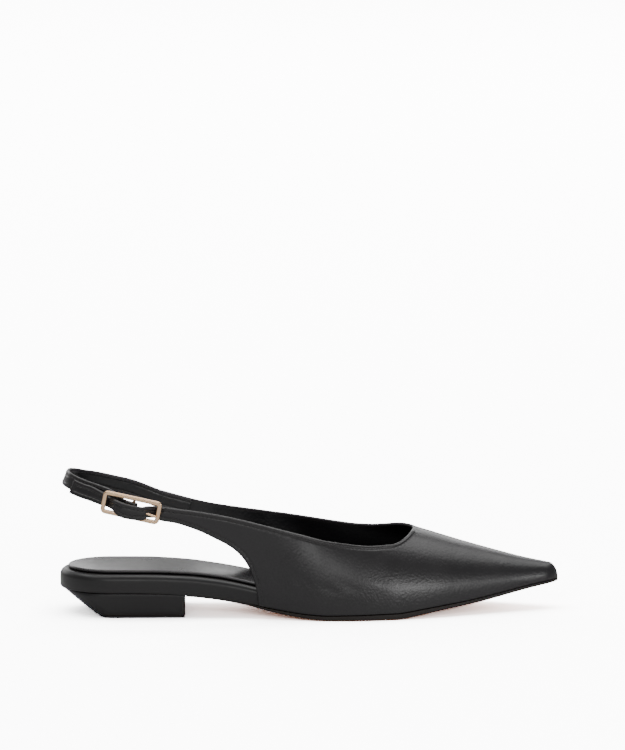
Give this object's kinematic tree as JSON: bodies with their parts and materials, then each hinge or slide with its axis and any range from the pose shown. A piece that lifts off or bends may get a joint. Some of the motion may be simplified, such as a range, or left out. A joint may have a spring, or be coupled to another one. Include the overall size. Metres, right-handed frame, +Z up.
{
  "type": "slingback pump",
  "caption": "Pointed slingback pump for the right foot, with a low block heel and a heel strap that closes with a small buckle on the outer side.",
  "frame": {"origin": "centre of the heel's resting face, on the floor", "axes": "+X towards the toe, +Z up, -Y towards the outer side of a right foot"},
  "size_m": [0.2705, 0.074, 0.0776],
  "materials": {
    "upper_leather": "smooth satin black calf leather with a fine grain",
    "wrap_leather": "satin black leather, wrapped over board and heel",
    "sock_leather": "smooth glossy black lining leather over a thin pad",
    "sole_leather": "warm tan leather sole with a dark painted edge",
    "tip_rubber": "matt black rubber",
    "buckle_metal": "polished pale rose gold plating"
  },
  "bodies": {
    "root": {"upper": "upper_leather", "sling_strap": "upper_leather", "footbed": "wrap_leather", "insole_sock": "sock_leather", "outsole": "sole_leather", "heel": "wrap_leather", "heel_tip": "tip_rubber", "buckle_frame": "buckle_metal", "buckle_prong": "buckle_metal"}
  },
  "joints": []
}
